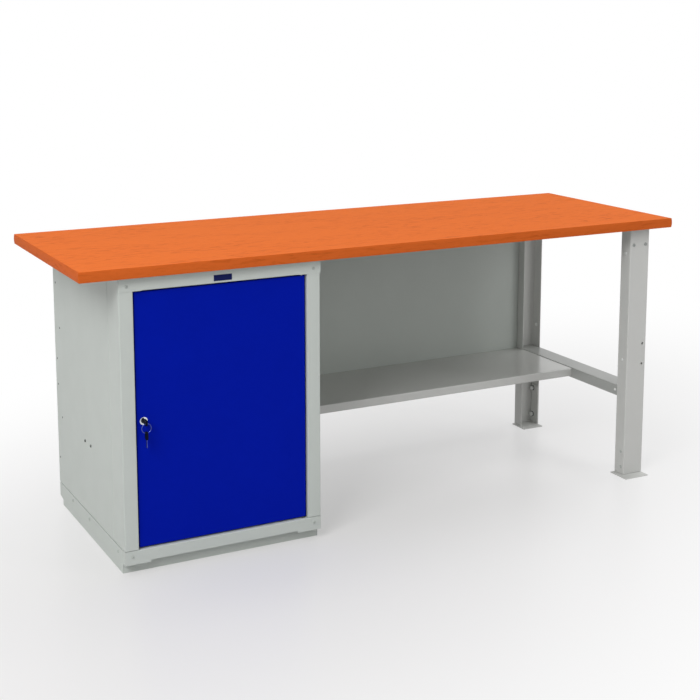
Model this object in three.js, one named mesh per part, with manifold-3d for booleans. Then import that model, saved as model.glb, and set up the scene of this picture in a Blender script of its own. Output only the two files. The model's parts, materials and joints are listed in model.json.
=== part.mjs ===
import * as THREE from 'three';
import { mergeVertices } from 'three/addons/utils/BufferGeometryUtils.js';
import Module from 'manifold-3d';

const wasm = await Module();
wasm.setup();

// Worktop sizes
const BENCH_HEIGHT = 875;
const TOP_LENGTH = 2000;
const TOP_DEPTH = 690;
const TOP_THICKNESS = 30;
const EDGE_BAND = 2;

// Sheet metal and fits
const SHEET = 1.5;
const BEND = 1.5;
const FIT = 0.3;
const SEAM = 0.8;
const BEND_STEPS = 3;
const ROUND_STEPS = 20;

// Cabinet carcass sizes
const CABINET_WIDTH = 604;
const CABINET_DEPTH = 655;
const CABINET_OVERHANG = 115;
const CABINET_SETBACK = 10;
const STILE_WIDTH = 41;
const STILE_RETURN = 25;
const STILE_LIP = 12;
const POST_SIDE = 102;
const SEAM_FLANGE = 15;
const REAR_FLANGE = 30;
const RAIL_HEIGHT = 40;
const RAIL_PROUD = 1.5;
const RAIL_FLANGE = 25;
const RAIL_END_PROUD = 1;
const RAIL_BOLT_INSET = 22;
const RAIL_BOLT_DROP = 25;
const BEARER = 30;
const BEARER_SHEET = 2;

// Base sizes
const BASE_HEIGHT = 70;
const BASE_SHEET = 2;
const BASE_RAIL_HEIGHT = 40;
const BASE_RAIL_WRAP = 24;
const BASE_RELIEF = 6;
const BASE_TAB = 75;
const BASE_FLANGE = 25;
const BASE_REAR_INSET = 32;
const BASE_NOTCH_LOW = 18;
const BASE_NOTCH_HIGH = 24;
const BASE_BOLT_RISE = 53;
const BASE_SEAM = 3;
const TRAY_DEPTH = 24;

// Inner shelf sizes
const INNER_SHELF_TOP = 318;
const INNER_SHELF_DEPTH = 20;
const INNER_SHELF_SETBACK = 50;
const INNER_SHELF_REAR_GAP = 4;
const INNER_SHELF_SIDE_GAP = 2.5;
const SUPPORT_WIDTH = 40;
const SUPPORT_HEIGHT = 20;
const SUPPORT_BOLT_FRONT = 299;
const SUPPORT_BOLT_PITCH = 56;
const SUPPORT_BOLT_DROP = 4;

// Door sizes
const DOOR_GAP = 5;
const DOOR_RECESS = 8;
const DOOR_DEPTH = 20;
const STIFFENER_WIDTH = 60;
const STIFFENER_DEPTH = 12;
const STIFFENER_FLANGE = 15;
const STIFFENER_END_GAP = 40;
const HINGE_EDGE = 7;
const HINGE_BACK = 6;
const PIN_DIAMETER = 6;
const PIN_INTO_DOOR = 12;
const PIN_INTO_FRAME = 8;
const WASHER_DIAMETER = 13;

// Lock and key sizes
const LOCK_INSET = 19;
const LOCK_FLANGE_DIAMETER = 23;
const LOCK_FLANGE_THICKNESS = 2.5;
const LOCK_BODY_DIAMETER = 18;
const LOCK_BODY_BEHIND = 1;
const LOCK_NUT_WIDTH = 24;
const LOCK_NUT_THICKNESS = 4;
const PLUG_DIAMETER = 12;
const PLUG_SQUARE = 7;
const CAM_THICKNESS = 2;
const CAM_WIDTH = 14;
const CAM_REACH = 36;
const CAM_GAP = 0.4;
const CAM_SCREW_DIAMETER = 9;
const CAM_SCREW_HEIGHT = 2.5;
const CAM_SCREW_SHANK = 3;
const CAM_SCREW_LENGTH = 6;
const KEY_BLADE_WIDTH = 8;
const KEY_BLADE_THICKNESS = 2;
const KEY_BLADE_LENGTH = 23.5;
const KEY_INSERTED = 20;
const KEY_CUTS = [1.2, 2, 0.8, 1.6];
const KEY_CUT_PITCH = 3.6;
const KEY_CUT_WIDTH = 2.8;
const KEY_HEAD_LENGTH = 23;
const KEY_HEAD_WIDTH = 17;
const KEY_HEAD_THICKNESS = 5;
const KEY_HEAD_CORNER = 5;
const KEY_HEAD_OVERLAP = 4;
const KEY_HOLE_DIAMETER = 6;
const KEY_HOLE_EDGE = 5.5;
const RING_RADIUS = 13.5;
const RING_WIRE = 1.8;
const RING_GAP = 0.5;
const RING_STEPS = 48;
const WIRE_STEPS = 10;

// Badge plate sizes
const BADGE_WIDTH = 54;
const BADGE_HEIGHT = 17;
const BADGE_THICKNESS = 1;
const BADGE_FROM_LEFT = 302;
const BADGE_DROP = 25;

// Leg frame sizes
const LEG_WIDTH = 78;
const LEG_DEPTH = 46;
const LEG_SHEET = 2.5;
const LEG_OVERHANG = 58;
const LEG_FRONT_SETBACK = 42;
const LEG_REAR_SETBACK = 0;
const FOOT_SHEET = 3;
const FRONT_FOOT_LEFT = 18;
const REAR_FOOT_LEFT = 8;
const FRONT_FOOT_FORWARD = 37;
const REAR_FOOT_FORWARD = 31;
const FOOT_LUG_HEIGHT = 150;
const FOOT_BOLT_SETBACK = 14;
const FOOT_BOLT_LOW = 34;
const FOOT_BOLT_HIGH = 136;
const HEAD_PLATE = 3;
const HEAD_HEIGHT = 75;
const HEAD_FLANGE = 42;
const HEAD_BOLT_DROP = 57;
const HEAD_BOLT_LEFT = 14;
const HEAD_BOLT_RIGHT = 16;
const SPARE_HOLE_DIAMETER = 8;
const SPARE_HOLE_INSET = 15;
const SPARE_HOLE_HEIGHTS = [382, 451];
const CROSSBAR_TOP = 302;
const CROSSBAR_HEIGHT = 35;
const CROSSBAR_SHEET = 2;
const CROSSBAR_BOLT_RISE = 18;
const CROSSBAR_BOLT_FROM_LEG = 14;

// Lower shelf and back screen sizes
const SHELF_TOP = 300;
const SHELF_DEPTH = 335;
const SHELF_FLANGE = 28;
const SHELF_LIP = 15;
const SHELF_BRACKET = 30;
const SHELF_BRACKET_SHEET = 2;
const SHELF_BRACKET_INSET = 12;
const SCREEN_LAP = 25;
const SCREEN_FLANGE = 8;

// Bolt sizes
const SMALL_BOLT = { shank: 5, head: 9, height: 2.6, length: 9 };
const LEG_BOLT = { shank: 8, head: 11, height: 3.5, length: 14 };
const FOOT_BOLT = { shank: 10, head: 19.6, height: 9, length: 12 };

// Places worked out from the sizes
const under = BENCH_HEIGHT - TOP_THICKNESS;
const topLeft = -TOP_LENGTH / 2;
const topRight = TOP_LENGTH / 2;
const topFront = -TOP_DEPTH / 2;
const topRear = TOP_DEPTH / 2;
const cabLeft = topLeft + CABINET_OVERHANG;
const cabRight = cabLeft + CABINET_WIDTH;
const cabMiddle = (cabLeft + cabRight) / 2;
const cabRear = topRear - CABINET_SETBACK;
const cabFront = cabRear - CABINET_DEPTH;
const skinRear = cabRear - SHEET;
const openLeft = cabLeft + STILE_WIDTH;
const openRight = cabRight - STILE_WIDTH;
const openTop = under - RAIL_HEIGHT;
const trayBottom = BASE_HEIGHT - TRAY_DEPTH;
const doorLeft = openLeft + DOOR_GAP;
const doorRight = openRight - DOOR_GAP;
const doorBottom = BASE_HEIGHT + DOOR_GAP;
const doorTop = openTop - DOOR_GAP;
const doorFace = cabFront + DOOR_RECESS;
const doorBack = doorFace + DOOR_DEPTH;
const hingeX = doorRight - HINGE_EDGE;
const hingeY = doorFace + HINGE_BACK;
const lockX = doorLeft + LOCK_INSET;
const lockZ = (doorBottom + doorTop) / 2;
const legRight = topRight - LEG_OVERHANG;
const legLeft = legRight - LEG_WIDTH;
const legFront = topFront + LEG_FRONT_SETBACK;
const legRear = topRear - LEG_REAR_SETBACK;
const barLeft = legLeft + LEG_SHEET + FIT;
const barRight = legRight - LEG_SHEET - FIT;

// Colours and surfaces
const GREY = { color: '#b9bdb8', roughness: 0.45, metalness: 0.1 };
const SHADE_GREY = { color: '#a9ada8', roughness: 0.5, metalness: 0.1 };
const BLUE = { color: '#0a1f9c', roughness: 0.4, metalness: 0.1 };
const ORANGE = { color: '#e0773a', roughness: 0.5, metalness: 0 };
const ORANGE_EDGE = { color: '#c4602a', roughness: 0.5, metalness: 0 };
const ZINC = { color: '#a8aaa8', roughness: 0.35, metalness: 0.9 };
const CHROME = { color: '#d5d8da', roughness: 0.15, metalness: 1 };
const BLACK = { color: '#16171a', roughness: 0.5, metalness: 0 };
const NAVY = { color: '#1d2c74', roughness: 0.4, metalness: 0 };
const NYLON = { color: '#d8d8d2', roughness: 0.5, metalness: 0 };

const group = new THREE.Group();
group.name = 'workbench';

// Adds one named piece to the bench
function addPiece(name, geometry, surface) {
  const mesh = new THREE.Mesh(geometry, new THREE.MeshStandardMaterial(surface));
  mesh.name = name;
  group.add(mesh);
}

// Solid of a geometry, for cutting and joining
function solid(geometry) {
  const bare = new THREE.BufferGeometry();
  bare.setAttribute('position', geometry.getAttribute('position'));
  if (geometry.index) bare.setIndex(geometry.index);
  const merged = mergeVertices(bare, 1e-4);
  return new wasm.Manifold(new wasm.Mesh({
    numProp: 3,
    vertProperties: new Float32Array(merged.getAttribute('position').array),
    triVerts: new Uint32Array(merged.index.array),
  }));
}

// Geometry of a solid
function shape(body) {
  const mesh = body.getMesh();
  const geometry = new THREE.BufferGeometry();
  geometry.setAttribute('position', new THREE.BufferAttribute(new Float32Array(mesh.vertProperties), 3));
  geometry.setIndex(new THREE.BufferAttribute(new Uint32Array(mesh.triVerts), 1));
  geometry.computeVertexNormals();
  return geometry;
}

// One body with others joined to it
function join(first, ...others) {
  return others.reduce((body, other) => body.add(solid(other)), solid(first));
}

// One body with others taken out of it
function cut(body, ...others) {
  return others.reduce((left, other) => left.subtract(solid(other)), body);
}

// Block between two corners
function block(x0, x1, y0, y1, z0, z1) {
  const geometry = new THREE.BoxGeometry(x1 - x0, y1 - y0, z1 - z0);
  geometry.translate((x0 + x1) / 2, (y0 + y1) / 2, (z0 + z1) / 2);
  return geometry;
}

// Round bar along an axis, or a hexagon when it has six sides
function bar(axis, at, from, to, diameter, sides = ROUND_STEPS) {
  const geometry = new THREE.CylinderGeometry(diameter / 2, diameter / 2, to - from, sides);
  geometry.translate(0, (from + to) / 2, 0);
  if (axis === 'x') geometry.rotateZ(-Math.PI / 2);
  if (axis === 'z') geometry.rotateX(Math.PI / 2);
  geometry.translate(at[0], at[1], at[2]);
  return geometry;
}

// Outline of points drawn in a plane and pulled along the third axis from one place to another
function pull(plane, points, from, to) {
  const outline = new THREE.Shape(points.map(([u, v]) => new THREE.Vector2(u, v)));
  const geometry = new THREE.ExtrudeGeometry(outline, { depth: to - from, bevelEnabled: false });
  if (plane === 'xy') geometry.translate(0, 0, from);
  if (plane === 'yz') {
    geometry.applyMatrix4(new THREE.Matrix4().set(0, 0, 1, from, 1, 0, 0, 0, 0, 1, 0, 0, 0, 0, 0, 1));
  }
  if (plane === 'xz') {
    geometry.applyMatrix4(new THREE.Matrix4().set(1, 0, 0, 0, 0, 0, -1, to, 0, 1, 0, 0, 0, 0, 0, 1));
  }
  return geometry;
}

// Line with its square corners rounded
function rounded(points, radius) {
  const out = [points[0]];
  for (let i = 1; i < points.length - 1; i += 1) {
    const at = new THREE.Vector2(...points[i]);
    const back = new THREE.Vector2(...points[i - 1]).sub(at).normalize();
    const ahead = new THREE.Vector2(...points[i + 1]).sub(at).normalize();
    const centre = at.clone().addScaledVector(back, radius).addScaledVector(ahead, radius);
    const start = ahead.clone().multiplyScalar(-radius);
    const end = back.clone().multiplyScalar(-radius);
    for (let k = 0; k <= BEND_STEPS; k += 1) {
      const turn = (k / BEND_STEPS) * (Math.PI / 2);
      out.push([
        centre.x + start.x * Math.cos(turn) + end.x * Math.sin(turn),
        centre.y + start.y * Math.cos(turn) + end.y * Math.sin(turn),
      ]);
    }
  }
  out.push(points[points.length - 1]);
  return out;
}

// Outline of a sheet folded along a line of square left turns; its thickness lies on the left
function folded(points, thickness) {
  const last = points.length - 1;
  const heads = points.slice(1).map(([u, v], i) => {
    const way = new THREE.Vector2(u - points[i][0], v - points[i][1]).normalize();
    return [-way.y * thickness, way.x * thickness];
  });
  const inner = points.map(([u, v], i) => {
    if (i === 0) return [u + heads[0][0], v + heads[0][1]];
    if (i === last) return [u + heads[last - 1][0], v + heads[last - 1][1]];
    return [u + heads[i - 1][0] + heads[i][0], v + heads[i - 1][1] + heads[i][1]];
  });
  return [...rounded(points, BEND + thickness), ...rounded(inner, BEND).reverse()];
}

// Points mirrored about a line of one coordinate
function mirrored(points, middle) {
  return points.map(([u, v]) => [2 * middle - u, v]);
}

// Bolt along an axis, its head against a face; way is the direction the shank points
function bolt(axis, at, way, size, sides = ROUND_STEPS) {
  const k = 'xyz'.indexOf(axis);
  const base = at[k];
  const centre = at.map((value, i) => (i === k ? 0 : value));
  const span = (a, b) => [base + Math.min(a * way, b * way), base + Math.max(a * way, b * way)];
  const head = bar(axis, centre, ...span(-size.height, 0), size.head, sides);
  const shank = bar(axis, centre, ...span(-size.height / 2, size.length), size.shank);
  return shape(join(head, shank));
}

// Hole for a bolt or pin along an axis
function hole(axis, at, from, to, diameter) {
  const k = 'xyz'.indexOf(axis);
  return bar(axis, at.map((value, i) => (i === k ? 0 : value)), from, to, diameter + 2 * FIT);
}

// Worktop
const coreLeft = topLeft + EDGE_BAND;
const coreRight = topRight - EDGE_BAND;
const coreFront = topFront + EDGE_BAND;
const coreRear = topRear - EDGE_BAND;
addPiece('worktop_board', block(coreLeft, coreRight, coreFront, coreRear, under, BENCH_HEIGHT), ORANGE);
addPiece('worktop_edge_front', block(topLeft, topRight, topFront, coreFront, under, BENCH_HEIGHT), ORANGE_EDGE);
addPiece('worktop_edge_rear', block(topLeft, topRight, coreRear, topRear, under, BENCH_HEIGHT), ORANGE_EDGE);
addPiece('worktop_edge_left', block(topLeft, coreLeft, coreFront, coreRear, under, BENCH_HEIGHT), ORANGE_EDGE);
addPiece('worktop_edge_right', block(coreRight, topRight, coreFront, coreRear, under, BENCH_HEIGHT), ORANGE_EDGE);

// Cabinet sides and front posts, the right ones mirrored from the left
const seamY = cabFront + POST_SIDE;
const panelFront = seamY + SEAM;
const panelLine = folded([
  [cabLeft + REAR_FLANGE, skinRear],
  [cabLeft, skinRear],
  [cabLeft, panelFront],
  [cabLeft + SEAM_FLANGE, panelFront],
], SHEET);
const postLine = folded([
  [cabLeft + SEAM_FLANGE, seamY],
  [cabLeft, seamY],
  [cabLeft, cabFront],
  [openLeft, cabFront],
  [openLeft, cabFront + STILE_RETURN],
  [openLeft - STILE_LIP, cabFront + STILE_RETURN],
], SHEET);
const supportBoltZ = INNER_SHELF_TOP - INNER_SHELF_DEPTH - SUPPORT_BOLT_DROP - SMALL_BOLT.head / 2;
const supportBolts = [0, 1].map((k) => cabFront + SUPPORT_BOLT_FRONT + k * SUPPORT_BOLT_PITCH);
const railBoltZ = under - RAIL_BOLT_DROP;
const sideHoles = supportBolts.map((y) => (
  hole('x', [0, y, supportBoltZ], cabLeft - BEND, cabLeft + SMALL_BOLT.length, SMALL_BOLT.shank)
));
addPiece('cabinet_left_side', shape(cut(solid(pull('xy', panelLine, BASE_HEIGHT, under)), ...sideHoles)), GREY);
addPiece('cabinet_right_side', pull('xy', mirrored(panelLine, cabMiddle), BASE_HEIGHT, under), GREY);
const railBoltLeft = cabLeft + RAIL_BOLT_INSET;
const railBoltRight = cabRight - RAIL_BOLT_INSET;
for (const [side, line, x] of [
  ['left', postLine, railBoltLeft],
  ['right', mirrored(postLine, cabMiddle), railBoltRight],
]) {
  const post = solid(pull('xy', line, BASE_HEIGHT, under));
  const through = hole('y', [x, 0, railBoltZ], cabFront - BEND, cabFront + SMALL_BOLT.length, SMALL_BOLT.shank);
  addPiece(`cabinet_${side}_post`, shape(cut(post, through)), GREY);
}
addPiece('cabinet_back', block(cabLeft, cabRight, skinRear, cabRear, BASE_HEIGHT, under), GREY);

// Front top rail over the posts, with flanges between them
const railFace = cabFront - RAIL_PROUD;
const railLine = folded([
  [cabFront + RAIL_FLANGE, under],
  [railFace, under],
  [railFace, openTop],
  [cabFront + RAIL_FLANGE, openTop],
], SHEET);
const topRail = join(
  pull('yz', railLine, openLeft + FIT, openRight - FIT),
  block(cabLeft, openLeft + RAIL_FLANGE, railFace, cabFront, openTop, under),
  block(openRight - RAIL_FLANGE, cabRight + RAIL_END_PROUD, railFace, cabFront, openTop, under),
);
const topRailHoles = [railBoltLeft, railBoltRight].map((x) => (
  hole('y', [x, 0, railBoltZ], railFace - BEND, cabFront + BEND, SMALL_BOLT.shank)
));
const upperPinHole = hole('z', [hingeX, hingeY, 0], openTop - BEND, openTop + RAIL_FLANGE / 2, PIN_DIAMETER);
addPiece('cabinet_top_rail', shape(cut(topRail, ...topRailHoles, upperPinHole)), GREY);
const badgeX = cabLeft + BADGE_FROM_LEFT;
const badgeZ = under - BADGE_DROP;
addPiece('badge_plate', block(
  badgeX - BADGE_WIDTH / 2,
  badgeX + BADGE_WIDTH / 2,
  railFace - BADGE_THICKNESS,
  railFace,
  badgeZ - BADGE_HEIGHT / 2,
  badgeZ + BADGE_HEIGHT / 2,
), NAVY);

// Front bottom rail with end wraps, lower tabs and a relieved middle
const baseRailBottom = BASE_HEIGHT - BASE_RAIL_HEIGHT;
const baseInnerLeft = cabLeft + BASE_SHEET + FIT;
const baseInnerRight = cabRight - BASE_SHEET - FIT;
const bottomLine = folded([
  [cabFront + RAIL_FLANGE, BASE_HEIGHT],
  [cabFront, BASE_HEIGHT],
  [cabFront, baseRailBottom],
], SHEET);
const bottomRail = join(
  pull('yz', bottomLine, baseInnerLeft, baseInnerRight),
  block(cabLeft, baseInnerLeft + RAIL_FLANGE, cabFront, cabFront + SHEET, baseRailBottom, BASE_HEIGHT),
  block(baseInnerRight - RAIL_FLANGE, cabRight, cabFront, cabFront + SHEET, baseRailBottom, BASE_HEIGHT),
  block(cabLeft, cabLeft + SHEET, cabFront, cabFront + BASE_RAIL_WRAP, baseRailBottom, BASE_HEIGHT),
  block(cabRight - SHEET, cabRight, cabFront, cabFront + BASE_RAIL_WRAP, baseRailBottom, BASE_HEIGHT),
);
const relief = block(
  cabLeft + BASE_TAB,
  cabRight - BASE_TAB,
  cabFront - BEND,
  cabFront + RAIL_FLANGE,
  baseRailBottom - BASE_RELIEF,
  baseRailBottom + BASE_RELIEF,
);
const bottomRailHoles = [railBoltLeft, railBoltRight].map((x) => (
  hole('y', [x, 0, BASE_BOLT_RISE], cabFront - BEND, cabFront + RAIL_FLANGE, SMALL_BOLT.shank)
));
const lowerPinHole = hole('z', [hingeX, hingeY, 0], BASE_HEIGHT - RAIL_FLANGE / 2, BASE_HEIGHT + BEND, PIN_DIAMETER);
addPiece('cabinet_bottom_rail', shape(cut(bottomRail, relief, ...bottomRailHoles, lowerPinHole)), GREY);
for (const [side, x] of [['left', railBoltLeft], ['right', railBoltRight]]) {
  addPiece(`top_rail_bolt_${side}`, bolt('y', [x, railFace, railBoltZ], 1, SMALL_BOLT), ZINC);
  addPiece(`bottom_rail_bolt_${side}`, bolt('y', [x, cabFront, BASE_BOLT_RISE], 1, SMALL_BOLT), ZINC);
}

// Base rails on the floor: two sides with a seam under the cabinet's sides, a front plinth and a rear rail
const baseFront = cabFront + BASE_RAIL_WRAP + FIT;
const baseRear = cabRear - BASE_REAR_INSET;
const baseSide = [
  [baseFront, 0],
  [baseRear, 0],
  [baseRear, BASE_NOTCH_LOW],
  [cabRear, BASE_NOTCH_HIGH],
  [cabRear, BASE_HEIGHT - BASE_SEAM],
  [baseFront, BASE_HEIGHT - BASE_SEAM],
];
const ledge = [trayBottom - BASE_SHEET, trayBottom];
const ledgeSpan = [baseFront + BASE_FLANGE + SEAM, baseRear - BASE_FLANGE - SEAM];
addPiece('base_left_rail', shape(join(
  pull('yz', baseSide, cabLeft, cabLeft + BASE_SHEET),
  block(cabLeft, cabLeft + BASE_FLANGE, ...ledgeSpan, ...ledge),
)), GREY);
addPiece('base_right_rail', shape(join(
  pull('yz', baseSide, cabRight - BASE_SHEET, cabRight),
  block(cabRight - BASE_FLANGE, cabRight, ...ledgeSpan, ...ledge),
)), GREY);
const plinthLine = folded([
  [baseFront + BASE_FLANGE, trayBottom],
  [baseFront, trayBottom],
  [baseFront, 0],
], BASE_SHEET);
addPiece('base_front_plinth', pull('yz', plinthLine, baseInnerLeft, baseInnerRight), SHADE_GREY);
const rearRailLine = mirrored(plinthLine, (baseFront + baseRear) / 2);
addPiece('base_rear_rail', pull('yz', rearRailLine, baseInnerLeft, baseInnerRight), SHADE_GREY);
const trayFront = cabFront + RAIL_FLANGE + FIT;
const trayRear = cabRear - FIT;
addPiece('cabinet_floor', shape(cut(
  solid(block(baseInnerLeft, baseInnerRight, trayFront, trayRear, trayBottom, BASE_HEIGHT)),
  block(
    baseInnerLeft + SHEET,
    baseInnerRight - SHEET,
    trayFront + SHEET,
    trayRear - SHEET,
    trayBottom - SHEET,
    BASE_HEIGHT - SHEET,
  ),
)), GREY);

// Worktop bearers and inner shelf supports along the cabinet sides
const innerFront = panelFront + SHEET + BEND + FIT;
const innerRear = skinRear - SHEET - BEND - FIT;
const bearerLine = folded([
  [cabLeft + SHEET + BEARER, under],
  [cabLeft + SHEET, under],
  [cabLeft + SHEET, under - BEARER],
], BEARER_SHEET);
const shelfRest = INNER_SHELF_TOP - INNER_SHELF_DEPTH;
const supportLine = folded([
  [cabLeft + SHEET + SUPPORT_WIDTH, shelfRest],
  [cabLeft + SHEET, shelfRest],
  [cabLeft + SHEET, shelfRest - SUPPORT_HEIGHT],
], SHEET);
const leftSupport = cut(solid(pull('xz', supportLine, innerFront, innerRear)), ...sideHoles);
addPiece('cabinet_left_bearer', pull('xz', bearerLine, innerFront, innerRear), GREY);
addPiece('cabinet_right_bearer', pull('xz', mirrored(bearerLine, cabMiddle), innerFront, innerRear), GREY);
addPiece('inner_shelf_left_support', shape(leftSupport), GREY);
addPiece('inner_shelf_right_support', pull('xz', mirrored(supportLine, cabMiddle), innerFront, innerRear), GREY);
supportBolts.forEach((y, k) => {
  addPiece(`support_bolt_${k + 1}`, bolt('x', [cabLeft, y, supportBoltZ], 1, SMALL_BOLT), ZINC);
});
const innerShelfLeft = cabLeft + SEAM_FLANGE + INNER_SHELF_SIDE_GAP;
const innerShelfRight = cabRight - SEAM_FLANGE - INNER_SHELF_SIDE_GAP;
const innerShelfFront = cabFront + INNER_SHELF_SETBACK;
const innerShelfRear = innerRear - INNER_SHELF_REAR_GAP;
addPiece('inner_shelf', shape(cut(
  solid(block(innerShelfLeft, innerShelfRight, innerShelfFront, innerShelfRear, shelfRest, INNER_SHELF_TOP)),
  block(
    innerShelfLeft + SHEET,
    innerShelfRight - SHEET,
    innerShelfFront + SHEET,
    innerShelfRear - SHEET,
    shelfRest - SHEET,
    INNER_SHELF_TOP - SHEET,
  ),
)), GREY);

// Door pan with its lock hole and hinge holes
const doorPan = cut(
  solid(block(doorLeft, doorRight, doorFace, doorBack, doorBottom, doorTop)),
  block(
    doorLeft + SHEET,
    doorRight - SHEET,
    doorFace + SHEET,
    doorBack + SHEET,
    doorBottom + SHEET,
    doorTop - SHEET,
  ),
  hole('y', [lockX, 0, lockZ], doorFace - SHEET, doorFace + 2 * SHEET, LOCK_BODY_DIAMETER),
  hole('z', [hingeX, hingeY, 0], doorBottom - SHEET, doorBottom + 2 * SHEET, PIN_DIAMETER),
  hole('z', [hingeX, hingeY, 0], doorTop - 2 * SHEET, doorTop + SHEET, PIN_DIAMETER),
);
addPiece('door_panel', shape(doorPan), BLUE);
const doorMiddle = (doorLeft + doorRight) / 2;
const skinBack = doorFace + SHEET;
const hatHalf = STIFFENER_WIDTH / 2;
const hatTop = skinBack + STIFFENER_DEPTH;
const hatLine = [
  [doorMiddle - hatHalf - STIFFENER_FLANGE, skinBack],
  [doorMiddle - hatHalf + SHEET, skinBack],
  [doorMiddle - hatHalf + SHEET, hatTop - SHEET],
  [doorMiddle + hatHalf - SHEET, hatTop - SHEET],
  [doorMiddle + hatHalf - SHEET, skinBack],
  [doorMiddle + hatHalf + STIFFENER_FLANGE, skinBack],
  [doorMiddle + hatHalf + STIFFENER_FLANGE, skinBack + SHEET],
  [doorMiddle + hatHalf, skinBack + SHEET],
  [doorMiddle + hatHalf, hatTop],
  [doorMiddle - hatHalf, hatTop],
  [doorMiddle - hatHalf, skinBack + SHEET],
  [doorMiddle - hatHalf - STIFFENER_FLANGE, skinBack + SHEET],
];
const hatSpan = [doorBottom + STIFFENER_END_GAP, doorTop - STIFFENER_END_GAP];
addPiece('door_stiffener', pull('xy', hatLine, ...hatSpan), BLUE);

// Hinge pins in the rails and a washer under the door
const pinAt = [hingeX, hingeY, 0];
addPiece('hinge_pin_bottom', bar(
  'z',
  pinAt,
  BASE_HEIGHT - PIN_INTO_FRAME,
  doorBottom + PIN_INTO_DOOR,
  PIN_DIAMETER,
), ZINC);
addPiece('hinge_pin_top', bar('z', pinAt, doorTop - PIN_INTO_DOOR, openTop + PIN_INTO_FRAME, PIN_DIAMETER), ZINC);
addPiece('hinge_washer', shape(cut(
  solid(bar('z', pinAt, BASE_HEIGHT, doorBottom - FIT, WASHER_DIAMETER)),
  hole('z', pinAt, BASE_HEIGHT - SHEET, doorBottom + SHEET, PIN_DIAMETER),
)), NYLON);

// Lock: housing through the door, nut behind it, turning plug with a cam
const lockAt = [lockX, 0, lockZ];
const lockFace = doorFace - LOCK_FLANGE_THICKNESS;
const lockEnd = doorBack + LOCK_BODY_BEHIND;
const camFront = lockEnd + CAM_GAP;
const camBack = camFront + CAM_THICKNESS;
const plugEnd = camBack + FIT;
addPiece('lock_housing', shape(cut(
  join(
    bar('y', lockAt, lockFace, doorFace, LOCK_FLANGE_DIAMETER),
    bar('y', lockAt, lockFace + SHEET, lockEnd, LOCK_BODY_DIAMETER),
  ),
  hole('y', lockAt, lockFace - SHEET, lockEnd + SHEET, PLUG_DIAMETER),
)), CHROME);
addPiece('lock_nut', shape(cut(
  solid(bar('y', lockAt, skinBack, skinBack + LOCK_NUT_THICKNESS, LOCK_NUT_WIDTH, 6)),
  hole('y', lockAt, doorFace, doorBack, LOCK_BODY_DIAMETER),
)), ZINC);
const halfSquare = PLUG_SQUARE / 2;
const keyIn = lockFace + KEY_INSERTED;
const wayHalf = KEY_BLADE_THICKNESS / 2 + FIT;
const wayRise = KEY_BLADE_WIDTH / 2 + FIT;
addPiece('lock_plug', shape(cut(
  join(
    bar('y', lockAt, lockFace, lockEnd, PLUG_DIAMETER),
    block(
      lockX - halfSquare,
      lockX + halfSquare,
      lockEnd - SHEET,
      plugEnd,
      lockZ - halfSquare,
      lockZ + halfSquare,
    ),
  ),
  block(lockX - wayHalf, lockX + wayHalf, lockFace - SHEET, keyIn + FIT, lockZ - wayRise, lockZ + wayRise),
  hole('y', lockAt, plugEnd - CAM_SCREW_LENGTH, plugEnd + SHEET, CAM_SCREW_SHANK),
)), CHROME);
const squareHole = halfSquare + FIT;
addPiece('lock_cam', shape(cut(
  join(
    bar('y', lockAt, camFront, camBack, CAM_WIDTH),
    block(
      lockX - CAM_WIDTH / 2,
      lockX + CAM_WIDTH / 2,
      camFront,
      camBack,
      lockZ - CAM_REACH,
      lockZ,
    ),
  ),
  block(
    lockX - squareHole,
    lockX + squareHole,
    camFront - SHEET,
    camBack + SHEET,
    lockZ - squareHole,
    lockZ + squareHole,
  ),
)), ZINC);
addPiece('cam_screw', bolt('y', [lockX, plugEnd, lockZ], -1, {
  shank: CAM_SCREW_SHANK,
  head: CAM_SCREW_DIAMETER,
  height: CAM_SCREW_HEIGHT,
  length: CAM_SCREW_LENGTH - SHEET,
}), ZINC);

// Key blades and heads; a key points along its own length from the hole to the tip
function keyHead(frame) {
  const half = KEY_HEAD_WIDTH / 2;
  const line = rounded([
    [-half, KEY_HEAD_LENGTH / 2],
    [-half, 0],
    [half, 0],
    [half, KEY_HEAD_LENGTH],
    [-half, KEY_HEAD_LENGTH],
    [-half, KEY_HEAD_LENGTH / 2],
  ], KEY_HEAD_CORNER);
  const slot = KEY_BLADE_WIDTH / 2 + FIT;
  const reach = KEY_HEAD_LENGTH - KEY_HEAD_OVERLAP - FIT;
  const thin = KEY_BLADE_THICKNESS / 2 + FIT;
  const deep = KEY_HEAD_THICKNESS / 2;
  const outline = new THREE.Shape(line.slice(0, -1).map(([u, v]) => new THREE.Vector2(u, v)));
  const plate = new THREE.ExtrudeGeometry(outline, { depth: KEY_HEAD_THICKNESS, bevelEnabled: false });
  plate.translate(0, 0, -deep);
  const body = cut(
    solid(plate),
    bar('z', [0, KEY_HOLE_EDGE, 0], -2 * deep, 2 * deep, KEY_HOLE_DIAMETER),
    block(-slot, slot, reach, KEY_HEAD_LENGTH + KEY_HEAD_OVERLAP, -thin, thin),
  );
  return shape(body).applyMatrix4(frame);
}
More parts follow.
